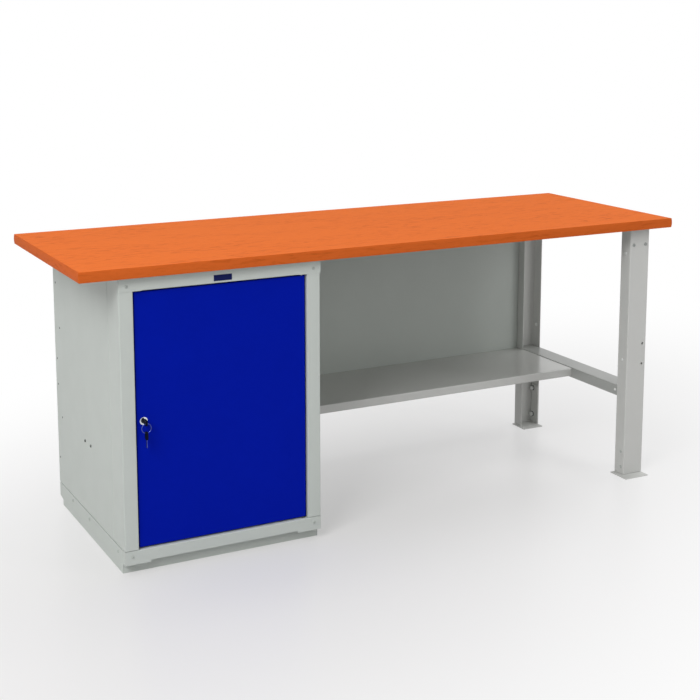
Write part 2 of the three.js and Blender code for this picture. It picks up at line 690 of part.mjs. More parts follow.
function keyBlade(frame) {
  const half = KEY_BLADE_WIDTH / 2;
  const start = KEY_HEAD_LENGTH - KEY_HEAD_OVERLAP;
  const tip = KEY_HEAD_LENGTH + KEY_BLADE_LENGTH;
  const cuts = KEY_CUTS.flatMap((deep, k) => {
    const at = KEY_HEAD_LENGTH + (k + 1) * KEY_CUT_PITCH;
    return [[half, at - KEY_CUT_WIDTH / 2], [half - deep, at], [half, at + KEY_CUT_WIDTH / 2]];
  });
  const line = [
    [-half, start],
    [half, start],
    ...cuts,
    [half, tip - half / 2],
    [half / 2, tip],
    [-half / 2, tip],
    [-half, tip - half / 2],
  ];
  const outline = new THREE.Shape(line.map(([u, v]) => new THREE.Vector2(u, v)));
  const plate = new THREE.ExtrudeGeometry(outline, { depth: KEY_BLADE_THICKNESS, bevelEnabled: false });
  plate.translate(0, 0, -KEY_BLADE_THICKNESS / 2);
  return plate.applyMatrix4(frame);
}

// Key in the lock, the ring through its head and the spare key on the ring
const keyEnd = keyIn - KEY_BLADE_LENGTH - KEY_HEAD_LENGTH;
const ringY = keyEnd + KEY_HOLE_EDGE;
const hangDrop = KEY_HOLE_DIAMETER / 2 - RING_WIRE / 2 - RING_GAP;
const ringTop = lockZ - hangDrop;
const ringCentre = ringTop - RING_RADIUS;
const ringBottom = ringCentre - RING_RADIUS;
const spareHole = ringBottom - hangDrop;
const keyFrame = new THREE.Matrix4().set(0, 0, 1, lockX, 0, 1, 0, keyEnd, -1, 0, 0, lockZ, 0, 0, 0, 1);
const spareFrame = new THREE.Matrix4().set(
  0, 0, 1, lockX,
  -1, 0, 0, ringY,
  0, -1, 0, spareHole + KEY_HOLE_EDGE,
  0, 0, 0, 1,
);
addPiece('key_head', keyHead(keyFrame), BLACK);
addPiece('key_blade', keyBlade(keyFrame), ZINC);
const ring = new THREE.TorusGeometry(RING_RADIUS, RING_WIRE / 2, WIRE_STEPS, RING_STEPS);
ring.rotateX(Math.PI / 2);
ring.translate(lockX, ringY, ringCentre);
addPiece('key_ring', ring, CHROME);
addPiece('spare_key_head', keyHead(spareFrame), BLACK);
addPiece('spare_key_blade', keyBlade(spareFrame), ZINC);

// Legs: two channels that face each other, each on an angled foot with a lug inside the channel
const frontWeb = legFront + LEG_SHEET;
const rearWeb = legRear - LEG_SHEET;
const lugRight = legRight - LEG_SHEET;
const lugLeft = lugRight - FOOT_SHEET;
const frontLegLine = folded([
  [legLeft, legFront + LEG_DEPTH],
  [legLeft, legFront],
  [legRight, legFront],
  [legRight, legFront + LEG_DEPTH],
], LEG_SHEET);
const rearLegLine = folded([
  [legRight, legRear - LEG_DEPTH],
  [legRight, legRear],
  [legLeft, legRear],
  [legLeft, legRear - LEG_DEPTH],
], LEG_SHEET);
const headBolts = [legLeft + HEAD_BOLT_LEFT, legRight - HEAD_BOLT_RIGHT];
const headBoltZ = under - HEAD_BOLT_DROP;
const footBolts = [FOOT_BOLT_LOW, FOOT_BOLT_HIGH];
const headLeft = legLeft + LEG_SHEET + BEND;
const headRight = legRight - LEG_SHEET - BEND;
const frontHoles = headBolts.map((x) => (
  hole('y', [x, 0, headBoltZ], legFront - BEND, frontWeb + 2 * HEAD_PLATE, LEG_BOLT.shank)
));
const spareHoles = SPARE_HOLE_HEIGHTS.map((z) => (
  hole('y', [legRight - SPARE_HOLE_INSET, 0, z], legFront - BEND, frontWeb + BEND, SPARE_HOLE_DIAMETER)
));
const footBoltY = legRear - FOOT_BOLT_SETBACK;
const rearHoles = footBolts.map((z) => (
  hole('x', [0, footBoltY, z], lugLeft - BEND, legRight + BEND, FOOT_BOLT.shank)
));
addPiece('front_leg', shape(cut(
  solid(pull('xy', frontLegLine, FOOT_SHEET, under)),
  ...frontHoles,
  ...spareHoles,
)), GREY);
addPiece('rear_leg', shape(cut(solid(pull('xy', rearLegLine, FOOT_SHEET, under)), ...rearHoles)), GREY);
function foot(left, front, rear, lugFront, lugRear, holes) {
  return shape(cut(join(
    block(left, lugRight, front, rear, 0, FOOT_SHEET),
    block(lugLeft, lugRight, lugFront, lugRear, 0, FOOT_LUG_HEIGHT),
  ), ...holes));
}
const lugGap = LEG_SHEET + BEND;
addPiece('front_foot', foot(
  legLeft - FRONT_FOOT_LEFT,
  legFront - FRONT_FOOT_FORWARD,
  legFront + LEG_DEPTH,
  legFront + lugGap,
  legFront + LEG_DEPTH,
  [],
), SHADE_GREY);
addPiece('rear_foot', foot(
  legLeft - REAR_FOOT_LEFT,
  legRear - LEG_DEPTH - REAR_FOOT_FORWARD,
  legRear,
  legRear - LEG_DEPTH,
  legRear - lugGap,
  rearHoles,
), SHADE_GREY);
footBolts.forEach((z, k) => {
  addPiece(`rear_foot_bolt_${k + 1}`, bolt('x', [lugLeft, footBoltY, z], 1, FOOT_BOLT, 6), ZINC);
});

// Head brackets inside the legs, under the worktop
const frontHead = folded([
  [frontWeb + HEAD_FLANGE, under],
  [frontWeb, under],
  [frontWeb, under - HEAD_HEIGHT],
], HEAD_PLATE);
const rearHead = mirrored(frontHead, (frontWeb + rearWeb) / 2);
addPiece('front_head_bracket', shape(cut(solid(pull('yz', frontHead, headLeft, headRight)), ...frontHoles)), GREY);
addPiece('rear_head_bracket', pull('yz', rearHead, headLeft, headRight), GREY);
headBolts.forEach((x, k) => {
  addPiece(`front_head_bolt_${k + 1}`, bolt('y', [x, legFront, headBoltZ], 1, LEG_BOLT), ZINC);
});

// Cross bar between the legs, with the bolt beside the front leg
const barLine = folded([
  [barRight, CROSSBAR_TOP - CROSSBAR_HEIGHT],
  [barRight, CROSSBAR_TOP],
  [barLeft, CROSSBAR_TOP],
  [barLeft, CROSSBAR_TOP - CROSSBAR_HEIGHT],
], CROSSBAR_SHEET);
const barBoltAt = [
  barLeft,
  legFront + LEG_DEPTH + CROSSBAR_BOLT_FROM_LEG,
  CROSSBAR_TOP - CROSSBAR_HEIGHT + CROSSBAR_BOLT_RISE,
];
addPiece('crossbar', shape(cut(
  solid(pull('xz', barLine, frontWeb + BEND, rearWeb - BEND)),
  hole('x', barBoltAt, barLeft - BEND, barLeft + SMALL_BOLT.length, SMALL_BOLT.shank),
)), GREY);
addPiece('crossbar_bolt', bolt('x', barBoltAt, 1, SMALL_BOLT), ZINC);

// Lower shelf tray from the cabinet to the cross bar, and the bracket that carries it
const shelfFront = cabRear - SHELF_DEPTH;
const shelfRight = barLeft - FIT;
const shelfLow = SHELF_TOP - SHELF_FLANGE;
const shelfLine = folded([
  [cabRear, shelfLow],
  [cabRear, SHELF_TOP],
  [shelfFront, SHELF_TOP],
  [shelfFront, shelfLow],
  [shelfFront + SHELF_LIP, shelfLow],
], SHEET);
const shelf = join(
  pull('yz', shelfLine, cabRight, shelfRight),
  block(
    shelfRight - SHEET,
    shelfRight,
    shelfFront + SHEET / 2,
    cabRear - SHEET / 2,
    shelfLow + SHEET,
    SHELF_TOP - SHEET / 2,
  ),
);
const legNotch = block(
  legLeft - FIT,
  legRight,
  legRear - LEG_DEPTH - FIT,
  legRear,
  shelfLow - SHELF_LIP,
  SHELF_TOP + SHELF_LIP,
);
addPiece('lower_shelf', shape(cut(shelf, legNotch)), GREY);
const bracketTop = SHELF_TOP - SHEET;
const bracketLine = folded([
  [cabRight + SHELF_BRACKET, bracketTop],
  [cabRight, bracketTop],
  [cabRight, bracketTop - SHELF_BRACKET],
], SHELF_BRACKET_SHEET);
addPiece('shelf_bracket', pull(
  'xz',
  bracketLine,
  shelfFront + SHELF_LIP + SHELF_BRACKET_INSET,
  cabRear - SHELF_BRACKET_INSET,
), GREY);

// Back screen behind the shelf, lapped on the cabinet back and flanged against the rear leg
const screenLine = folded([
  [cabRight - SCREEN_LAP, cabRear],
  [legLeft, cabRear],
  [legLeft, cabRear + SCREEN_FLANGE],
], SHEET);
addPiece('back_screen', pull('xy', screenLine, shelfLow, under), GREY);

export default group;
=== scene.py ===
"""Looks of a steel workbench with a cabinet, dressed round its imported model."""

import json
import logging
import math
from dataclasses import dataclass
from enum import Enum
from typing import Any, Iterable, Sequence

import bmesh
import bpy
from mathutils import Matrix, Vector


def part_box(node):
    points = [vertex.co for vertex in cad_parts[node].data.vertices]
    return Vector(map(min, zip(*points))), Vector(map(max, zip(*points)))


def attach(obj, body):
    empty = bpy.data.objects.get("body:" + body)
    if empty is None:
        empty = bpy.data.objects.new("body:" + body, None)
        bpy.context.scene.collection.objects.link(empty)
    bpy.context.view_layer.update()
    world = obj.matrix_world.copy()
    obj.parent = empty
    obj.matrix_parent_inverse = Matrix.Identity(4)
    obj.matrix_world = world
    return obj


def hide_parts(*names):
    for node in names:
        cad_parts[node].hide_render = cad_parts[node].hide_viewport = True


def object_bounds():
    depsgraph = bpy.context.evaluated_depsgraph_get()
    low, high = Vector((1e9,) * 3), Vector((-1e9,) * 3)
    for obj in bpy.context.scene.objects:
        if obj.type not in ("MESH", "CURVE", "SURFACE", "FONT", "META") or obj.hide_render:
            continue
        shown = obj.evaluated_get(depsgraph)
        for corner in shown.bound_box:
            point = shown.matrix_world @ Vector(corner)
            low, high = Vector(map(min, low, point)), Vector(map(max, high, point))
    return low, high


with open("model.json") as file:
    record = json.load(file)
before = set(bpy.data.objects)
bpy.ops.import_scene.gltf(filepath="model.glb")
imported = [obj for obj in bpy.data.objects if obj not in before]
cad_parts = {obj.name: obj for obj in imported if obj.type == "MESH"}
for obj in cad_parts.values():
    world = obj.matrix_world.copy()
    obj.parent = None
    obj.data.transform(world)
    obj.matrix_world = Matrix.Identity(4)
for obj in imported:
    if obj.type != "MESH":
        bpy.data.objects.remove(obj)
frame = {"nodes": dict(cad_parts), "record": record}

LOG = logging.getLogger("workbench")
CAD_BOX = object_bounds()
BODY_OF = {
    node: body
    for body, nodes in frame["record"]["behaviour"]["bodies"].items()
    for node in nodes
}
MM = 0.001
# Points closer than this, in metres, count as one
TOUCH = 1e-6
# Faces that meet at less than the first are one flat face, and at more than the second an edge
FLAT_DEG = 0.5
EDGE_DEG = 50.0
WHITE = "#ffffff"
# Sockets of a Mix node for colours: its two colours and its result
MIX_FIRST, MIX_SECOND, MIX_RESULT = 6, 7, 2
Point = tuple[float, float, float]
Steps = tuple[tuple[float, float], ...]
Bare = tuple[bpy.types.Material, bpy.types.NodeTree, bpy.types.Node, bpy.types.NodeSocket]
# Ways that the front and the left faces of the bench look
FORWARD: Point = (0, -1, 0)
LEFTWARD: Point = (-1, 0, 0)


def linear(colour: str) -> tuple[float, float, float, float]:
    """Turns an sRGB hex colour to linear.

    Args:
        colour: Colour such as "#c9cec9".

    Returns:
        Linear red, green and blue, and an alpha of 1.
    """
    parts = [int(colour[i : i + 2], 16) / 255 for i in (1, 3, 5)]
    made = [c / 12.92 if c <= 0.04045 else ((c + 0.055) / 1.055) ** 2.4 for c in parts]
    return (made[0], made[1], made[2], 1.0)


def add_node(
    tree: bpy.types.NodeTree, kind: str, inputs: dict[Any, Any] | None = None, **settings: Any
) -> bpy.types.Node:
    """Adds a node with its settings, input values and links.

    Args:
        tree: Tree that gets the node.
        kind: Node type, without its ShaderNode prefix.
        inputs: For an input's name or number, its value or the output that it is linked to.
        settings: Properties of the node.

    Returns:
        The new node.
    """
    node = tree.nodes.new("ShaderNode" + kind)
    for name, value in settings.items():
        setattr(node, name, value)
    for name, value in (inputs or {}).items():
        if isinstance(value, bpy.types.NodeSocket):
            tree.links.new(value, node.inputs[name])
        else:
            node.inputs[name].default_value = value
    return node


# Finishes


@dataclass(frozen=True)
class Finish:
    """Surface of one real material, mottled in colour and sheen and with a fine bump."""

    name: str
    colour: str
    mottle: str
    roughness: float
    metallic: float = 0.0
    ior: float = 1.5
    specular: float = 0.2
    patch_mm: float = 90.0
    patch_detail: float = 3.0
    grit_mm: float = 2.5
    grit_detail: float = 2.0
    bump_mm: float = 0.02
    bump_strength: float = 1.0
    rough_swing: float = 0.05

    def start(self) -> Bare:
        """Makes the bare material.

        Returns:
            Material, its node tree, its shader and its Object coordinates in metres.
        """
        material = bpy.data.materials.new(self.name)
        material.use_nodes = True
        tree = material.node_tree
        tree.nodes.clear()
        shader = add_node(tree, "BsdfPrincipled", {"Metallic": self.metallic})
        if not self.metallic:
            shader.inputs["IOR"].default_value = self.ior
            shader.inputs["Specular IOR Level"].default_value = self.specular
        add_node(tree, "OutputMaterial", {"Surface": shader.outputs[0]})
        return material, tree, shader, add_node(tree, "TexCoord").outputs["Object"]

    def ground(self) -> dict[int, Any]:
        """Gives the two colours of the ground as inputs of a Mix node."""
        return {MIX_FIRST: linear(self.colour), MIX_SECOND: linear(self.mottle)}

    def join_up(
        self,
        tree: bpy.types.NodeTree,
        shader: bpy.types.Node,
        colour: bpy.types.NodeSocket,
        tone: bpy.types.NodeSocket,
        relief: bpy.types.NodeSocket,
    ) -> None:
        """Joins a pattern to the shader.

        Args:
            tree: Tree that gets the nodes.
            shader: Shader of the material.
            colour: Colour of the surface.
            tone: Pattern that swings the roughness.
            relief: Height of the bump.
        """
        low, high = self.roughness - self.rough_swing, self.roughness + self.rough_swing
        rough = add_node(tree, "MapRange", {"Value": tone, "To Min": low, "To Max": high})
        heights = {
            "Height": relief,
            "Distance": self.bump_mm * MM,
            "Strength": self.bump_strength,
        }
        bump = add_node(tree, "Bump", heights)
        for name, made in (
            ("Base Color", colour),
            ("Roughness", rough.outputs[0]),
            ("Normal", bump.outputs[0]),
        ):
            tree.links.new(made, shader.inputs[name])

    def make(self) -> bpy.types.Material:
        """Makes the material with its pattern.

        Returns:
            The finished material.
        """
        material, tree, shader, place = self.start()
        tone, relief = (
            add_node(
                tree, "TexNoise", {"Vector": place, "Scale": 1 / (size * MM), "Detail": detail}
            ).outputs["Fac"]
            for size, detail in (
                (self.patch_mm, self.patch_detail),
                (self.grit_mm, self.grit_detail),
            )
        )
        mixed = add_node(tree, "Mix", {0: tone, **self.ground()}, data_type="RGBA")
        self.join_up(tree, shader, mixed.outputs[MIX_RESULT], tone, relief)
        return material


class Grain(Enum):
    """Axis that a wood figure or a drawn line runs along."""

    ALONG_X = 0
    ALONG_Y = 1
    ALONG_Z = 2

    def scale(self, along_mm: float, across_mm: float) -> Point:
        """Gives the scale per metre on each axis of marks stretched along the grain.

        Args:
            along_mm: Length of a mark.
            across_mm: Width of a mark.

        Returns:
            Scale for a Mapping node.
        """
        sizes = [across_mm] * 3
        sizes[self.value] = along_mm
        x, y, z = (1 / (size * MM) for size in sizes)
        return (x, y, z)


@dataclass(frozen=True)
class WoodLaminate(Finish):
    """Printed wood laminate: darker dashes in loose patches over an even ground, satin."""

    bump_strength: float = 0.5
    dark: str = "#cf5c27"
    grain: Grain = Grain.ALONG_X
    waver: float = 0.6
    dash_mm: float = 46.0
    dash_width_mm: float = 7.0
    dash_shown: tuple[float, float] = (0.53, 0.7)
    patch_length_mm: float = 260.0
    patch_width_mm: float = 70.0
    patch_shown: tuple[float, float] = (0.38, 0.66)
    patch_least: float = 0.15
    figure_detail: float = 2.0
    pore_mm: float = 22.0
    pore_width_mm: float = 2.5
    pore_shown: tuple[float, float] = (0.58, 0.7)
    pore_most: float = 0.3
    pore_detail: float = 1.0

    def make(self) -> bpy.types.Material:
        """Makes the material with its printed figure.

        Returns:
            The finished material.
        """
        material, tree, shader, place = self.start()
        marks = []
        for along, across, detail in (
            (self.dash_mm, self.dash_width_mm, self.figure_detail),
            (self.patch_length_mm, self.patch_width_mm, self.figure_detail),
            (self.pore_mm, self.pore_width_mm, self.pore_detail),
        ):
            scale = self.grain.scale(along, across)
            laid = add_node(tree, "Mapping", {"Vector": place, "Scale": scale}).outputs[0]
            noise = {"Vector": laid, "Scale": 1.0, "Detail": detail, "Distortion": self.waver}
            marks.append(add_node(tree, "TexNoise", noise).outputs["Fac"])
        dash, patch, pore = marks
        dashes, patches, pores = (
            add_node(
                tree,
                "MapRange",
                {
                    "Value": mark,
                    "From Min": shown[0],
                    "From Max": shown[1],
                    "To Min": least,
                    "To Max": most,
                },
            ).outputs[0]
            for mark, shown, least, most in (
                (dash, self.dash_shown, 0.0, 1.0),
                (patch, self.patch_shown, self.patch_least, 1.0),
                (pore, self.pore_shown, 0.0, self.pore_most),
            )
        )
        figure = add_node(tree, "Math", {0: dashes, 1: patches}, operation="MULTIPLY").outputs[0]
        print_on = add_node(tree, "Math", {0: figure, 1: pores}, operation="MAXIMUM").outputs[0]
        ground = add_node(tree, "Mix", {0: patch, **self.ground()}, data_type="RGBA")
        shades = {
            0: print_on,
            MIX_FIRST: ground.outputs[MIX_RESULT],
            MIX_SECOND: linear(self.dark),
        }
        mixed = add_node(tree, "Mix", shades, data_type="RGBA")
        self.join_up(tree, shader, mixed.outputs[MIX_RESULT], dash, pore)
        return material


@dataclass(frozen=True)
class DrawnMetal(Finish):
    """Metal with fine drawn lines, which stretch its highlights."""

    grain: Grain = Grain.ALONG_Z
    line_mm: float = 30.0
    line_width_mm: float = 0.5
    line_detail: float = 2.0

    def make(self) -> bpy.types.Material:
        """Makes the material with its lines.

        Returns:
            The finished material.
        """
        material, tree, shader, place = self.start()
        scale = self.grain.scale(self.line_mm, self.line_width_mm)
        laid = add_node(tree, "Mapping", {"Vector": place, "Scale": scale}).outputs[0]
        noise = {"Vector": laid, "Scale": 1.0, "Detail": self.line_detail}
        line = add_node(tree, "TexNoise", noise).outputs["Fac"]
        mixed = add_node(tree, "Mix", {0: line, **self.ground()}, data_type="RGBA")
        self.join_up(tree, shader, mixed.outputs[MIX_RESULT], line, line)
        return material


class Surface(Enum):
    """Every finish on the bench."""

    # Polyester powder coat, baked on: an even light grey with a faint orange-peel skin, drawn at
    # 2.5 mm because the real 1 mm cells are too fine to show
    GREY_PAINT = Finish("light_grey_powder_coat", "#cad0cb", "#c5cbc6", 0.46, bump_mm=0.012)
    # The leg frame's coat: the cabinet's grey made a little paler as painted light, and without the
    # green cast
    LEG_PAINT = Finish("pale_grey_coat_painted_light", "#d4d5d2", "#cecfcc", 0.46, bump_mm=0.012)
    # The cross bar's coat: half glossy, so that its top shines, and its grey darkened as painted
    # shade, so that its side looks shaded
    BAR_PAINT = Finish(
        "half_gloss_grey_coat_painted_shade",
        "#aeb0ad",
        "#a8aaa7",
        0.3,
        specular=0.5,
        rough_swing=0.03,
        bump_mm=0.008,
    )
    # The shelf's coat: the same pale grey, wiped smooth and glossy, so that it mirrors the screen
    SHELF_PAINT = Finish(
        "glossy_grey_powder_coat",
        "#cccdca",
        "#c6c7c4",
        0.2,
        specular=0.5,
        rough_swing=0.03,
        bump_mm=0.004,
    )
    # The same coat in ultramarine, a little smoother
    BLUE_PAINT = Finish(
        "ultramarine_powder_coat", "#0019a7", "#00179f", 0.42, specular=0.03, bump_mm=0.01
    )
    # Melamine laminate with a printed wood figure along the bench
    LAMINATE = WoodLaminate("orange_wood_laminate", "#f27b33", "#ee7630", 0.58, specular=0.02)
    # Edge band of the same print on its thin side, its colours darker than the top's as painted
    # shade of the upright faces
    EDGE_LONG = WoodLaminate(
        "orange_edge_band_long_painted_shade",
        "#da6a2c",
        "#d06127",
        0.5,
        specular=0.02,
        dark="#bb541d",
        patch_width_mm=16.0,
    )
    # The same band on the short ends, with its figure along them
    EDGE_SHORT = WoodLaminate(
        "orange_edge_band_short_painted_shade",
        "#da6a2c",
        "#d06127",
        0.5,
        specular=0.02,
        dark="#bb541d",
        grain=Grain.ALONG_Y,
        patch_width_mm=16.0,
    )
    # Balancing sheet under the board: plain brown-grey kraft laminate, matt
    BACKING = Finish("kraft_backing_sheet", "#8b8781", "#827e78", 0.7, specular=0.1, patch_mm=40.0)
    # Bright zinc plate: pale grey with a slightly cloudy sheen
    ZINC = Finish(
        "zinc_plated_steel", "#b9bcba", "#a6aaa9", 0.34, metallic=1.0, patch_mm=4.0, bump_mm=0.004
    )
    # Heads coated with the cabinet's paint, a little worn by the driver
    PAINTED_HEAD = Finish(
        "painted_bolt_head", "#bec4bf", "#b4bab5", 0.42, patch_mm=5.0, bump_mm=0.006
    )
    # Plain steel of the head bolts: a mid grey, darker than the leg's coat
    STEEL_HEAD = Finish(
        "dull_steel_bolt_head", "#aeb2b0", "#a3a7a5", 0.45, patch_mm=5.0, bump_mm=0.006
    )
    # Galvanised rivets and bolts, drawn as a dull near-white head: its paleness is a painted
    # highlight for the zinc's glint
    BRIGHT_HEAD = Finish(
        "rivet_painted_highlight", "#eceeec", "#e2e4e2", 0.35, specular=0.5, patch_mm=5.0, bump_mm=0.004
    )
    # Dull dark grey of the rivets, shelf bolts and washers; on the washers it is painted shade of
    # the slot round the bolt
    DARK_HEAD = Finish("dark_grey_heads_and_washer_shade", "#676c69", "#5b605d", 0.5, patch_mm=5.0, bump_mm=0.006)
    # Polished chrome plate on the lock: a bright mirror
    CHROME = Finish(
        "chrome_plate", "#dfe2e4", "#d5d9dc", 0.12, metallic=1.0, patch_mm=6.0, rough_swing=0.04
    )
    # Stamped nickel-silver key blades, tarnished to a cool blue-grey, drawn lengthwise
    KEY_METAL = DrawnMetal(
        "nickel_silver", "#5a66ac", "#4f5b9e", 0.34, metallic=1.0, bump_mm=0.006
    )
    # Hardened steel wire of the key ring, blued a little by the heat: darker than the lock's chrome
    WIRE = Finish(
        "steel_ring_wire", "#606cac", "#55619f", 0.26, metallic=1.0, patch_mm=5.0, bump_mm=0.004
    )
    # Moulded blue-black plastic with a fine spark-eroded grain
    BLACK_PLASTIC = Finish(
        "black_moulded_plastic", "#080c1a", "#0b1022", 0.5, ior=1.49, specular=0.06, grit_mm=0.6
    )
    # Enamelled badge plate, left blank: smooth dark blue
    BADGE = Finish(
        "blue_enamel_plate", "#101c58", "#0e184f", 0.3, specular=0.08, patch_mm=12.0, bump_mm=0.004
    )
    # Dark grey nylon of the hinge washer, slightly waxy
    NYLON = Finish("dark_nylon", "#3a3c40", "#34363a", 0.5, ior=1.53, patch_mm=8.0)

    def material(self) -> bpy.types.Material:
        """Gives the material, made at its first use."""
        return bpy.data.materials.get(self.value.name) or self.value.make()


# Making of pieces


def put(
    name: str,
    bm: bmesh.types.BMesh,
    surfaces: Sequence[Surface],
    body: str,
    stands_for: Iterable[str] = (),
    smooth_deg: float = EDGE_DEG,
) -> bpy.types.Object:
    """Turns a finished mesh into a piece of the bench.

    Args:
        name: Name of the piece.
        bm: Mesh in metres, in the bench's own place; it is freed.
        surfaces: Finishes by material index.
        body: Body that the piece rides on.
        stands_for: CAD nodes that the piece replaces.
        smooth_deg: Edges sharper than this stay sharp.

    Returns:
        The piece.
    """
    mesh = bpy.data.meshes.new(name)
    bm.to_mesh(mesh)
    bm.free()
    for surface in surfaces:
        mesh.materials.append(surface.material())
    mesh.shade_smooth()
    mesh.set_sharp_from_angle(angle=math.radians(smooth_deg))
    piece = bpy.data.objects.new(name, mesh)
    bpy.context.scene.collection.objects.link(piece)
    even = piece.modifiers.new("even_normals", "WEIGHTED_NORMAL")
    even.keep_sharp = True
    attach(piece, body)
    if stands_for:
        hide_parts(*stands_for)
    LOG.info("%s on %s, %d faces", name, body, len(mesh.polygons))
    return piece


def round_edges(
    bm: bmesh.types.BMesh,
    edges: Sequence[bmesh.types.BMEdge],
    radius_mm: float,
    segments: int = 2,
    clamp: bool = False,
) -> None:
    """Rounds edges of a mesh.

    Args:
        bm: Mesh that is changed.
        edges: Edges to round.
        radius_mm: Their radius.
        segments: Steps across an edge.
        clamp: Whether the radius gives way where edges lie close together.
    """
    bmesh.ops.bevel(
        bm,
        geom=edges,
        offset=radius_mm * MM,
        affect="EDGES",
        segments=segments,
        profile=0.5,
        material=-1,
        clamp_overlap=clamp,
    )


def soften(
    node: str, surface: Surface, radius_mm: float, segments: int = 2, clear_mm: float = 0.0
) -> bpy.types.Object:
    """Replaces a CAD node by the same shape with its edges rounded.

    Args:
        node: CAD node.
        surface: Finish of the piece.
        radius_mm: Radius of the edges.
        segments: Steps across an edge.
        clear_mm: How far its lower end stands clear of what is under it.

    Returns:
        The piece.
    """
    bm = bmesh.new()
    bm.from_mesh(frame["nodes"][node].data)
    bmesh.ops.remove_doubles(bm, verts=bm.verts, dist=TOUCH)
    flat = math.radians(FLAT_DEG)
    bmesh.ops.dissolve_limit(bm, angle_limit=flat, verts=bm.verts, edges=bm.edges)
    foot = min(v.co.z for v in bm.verts)
    lowest = [v for v in bm.verts if v.co.z - foot < TOUCH]
    bmesh.ops.translate(bm, verts=lowest, vec=(0, 0, clear_mm * MM))
    least = math.radians(EDGE_DEG)
    sharp = [e for e in bm.edges if len(e.link_faces) == 2 and e.calc_face_angle(0) > least]
    round_edges(bm, sharp, radius_mm, segments, clamp=True)
    return put(f"{node}_dressed", bm, [surface], BODY_OF[node], [node])


def paint(node: str, surface: Surface) -> None:
    """Gives a CAD node that stays its finish.

    Args:
        node: CAD node.
        surface: Its finish.
    """
    slots = frame["nodes"][node].data.materials
    slots.clear()
    slots.append(surface.material())
    LOG.info("%s painted with %s", node, surface.value.name)


def middle_of(node: str) -> Point:
    """Gives the middle of a CAD node's box in millimetres.

    Args:
        node: CAD node.

    Returns:
        Its middle.
    """
    x, y, z = ((a + b) / 2 / MM for a, b in zip(*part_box(node)))
    return (x, y, z)


def box_mesh(low: Sequence[float], high: Sequence[float]) -> bmesh.types.BMesh:
    """Makes a box between two corners.

    Args:
        low: Lowest corner in metres.
        high: Highest corner in metres.

    Returns:
        The box's mesh.
    """
    bm = bmesh.new()
    bmesh.ops.create_cube(bm, size=1.0)
    bmesh.ops.scale(bm, verts=bm.verts, vec=[b - a for a, b in zip(low, high)])
    bmesh.ops.translate(bm, verts=bm.verts, vec=[(a + b) / 2 for a, b in zip(low, high)])
    return bm


def upright(edge: bmesh.types.BMEdge) -> bool:
    """Tells whether an edge's ends lie at different heights."""
    return abs(edge.verts[0].co.z - edge.verts[1].co.z) > TOUCH


def rise(
    bm: bmesh.types.BMesh, face: bmesh.types.BMFace, height: float, scale: float
) -> bmesh.types.BMFace:
    """Pulls an end face along Z and scales it about the Z axis.

    Args:
        bm: Mesh of the part.
        face: End face.
        height: Way along Z in metres.
        scale: Scale of the new end.

    Returns:
        The new end face.
    """
    end = bmesh.ops.extrude_discrete_faces(bm, faces=[face])["faces"][0]
    bmesh.ops.translate(bm, verts=end.verts, vec=(0, 0, height))
    bmesh.ops.scale(bm, verts=end.verts, vec=(scale, scale, 1))
    return end


def spin_round(bm: bmesh.types.BMesh, steps: int) -> None:
    """Spins an outline a full turn round the Z axis and closes it.

    Args:
        bm: Mesh of the outline.
        steps: Steps of the turn.
    """
    bmesh.ops.spin(
        bm,
        geom=bm.verts[:] + bm.edges[:],
        cent=(0, 0, 0),
        axis=(0, 0, 1),
        angle=math.tau,
        steps=steps,
        use_merge=True,
    )
    bmesh.ops.remove_doubles(bm, verts=bm.verts, dist=TOUCH)
    bmesh.ops.recalc_face_normals(bm, faces=bm.faces)


def turn_to(bm: bmesh.types.BMesh, at: Sequence[float], way: Sequence[float]) -> None:
    """Turns a part made along Z to point another way and moves it to its place.

    Args:
        bm: Mesh made round the Z axis in metres.
        at: Place in millimetres.
        way: Direction that its top points.
    """
    turn = Vector((0, 0, 1)).rotation_difference(Vector(way)).to_matrix().to_4x4()
    bmesh.ops.transform(bm, matrix=Matrix.Translation(Vector(at) * MM) @ turn, verts=bm.verts)


# Fasteners


class Head(Enum):
    """Kind of fastener head, as its steps up: share of the height and scale of each.

    The first steps are round and the others have six corners.
    """

    # Domed rivet
    RIVET = (((0.3, 0.98), (0.35, 0.86), (0.25, 0.68), (0.1, 0.5)), ())
    # Button head with a hexagon socket
    SOCKET = (
        ((0.35, 1.0), (0.3, 0.93), (0.2, 0.86), (0.15, 0.8), (0.0, 0.72)),
        ((-0.6, 0.98),),
    )
    # Hexagon head on a washer
    HEXAGON = (((0.22, 0.98), (0.0, 0.84)), ((0.62, 1.0), (0.16, 0.9)))

    def __init__(self, round_steps: Steps, six_sided_steps: Steps) -> None:
        """Keeps the steps of the head.

        Args:
            round_steps: Steps with a round outline.
            six_sided_steps: Steps with six corners, which follow.
        """
        self.round_steps = round_steps
        self.six_sided_steps = six_sided_steps


class Stock(Enum):
    """Fasteners on the bench: head, its width and height, shank width and length in mm."""

    PANEL_BOLT = (Head.SOCKET, 9.0, 2.6, 5.0, 1.2)
    SIDE_RIVET = (Head.RIVET, 6.5, 1.0, 4.0, 1.4)
    LEG_HEAD_BOLT = (Head.SOCKET, 11.0, 3.2, 8.0, 2.0)
    BAR_BOLT = (Head.RIVET, 10.0, 2.6, 5.0, 1.8)
    FLANGE_BOLT = (Head.RIVET, 10.0, 2.4, 5.0, 2.0)
    INNER_BOLT = (Head.RIVET, 14.0, 4.5, 5.0, 2.0)
    FOOT_RIVET = (Head.RIVET, 11.0, 1.6, 8.0, 2.0)
    FOOT_BOLT = (Head.HEXAGON, 20.0, 9.0, 10.0, 3.0)

    def __init__(
        self, head: Head, width: float, height: float, shank: float, length: float
    ) -> None:
        """Keeps the sizes of the fastener.

        Args:
            head: Kind of head.
            width: Width of the head in millimetres.
            height: Height of the head in millimetres.
            shank: Width of the shank in millimetres.
            length: Length of the shank in millimetres.
        """
        self.head = head
        self.width = width
        self.height = height
        self.shank = shank
        self.length = length


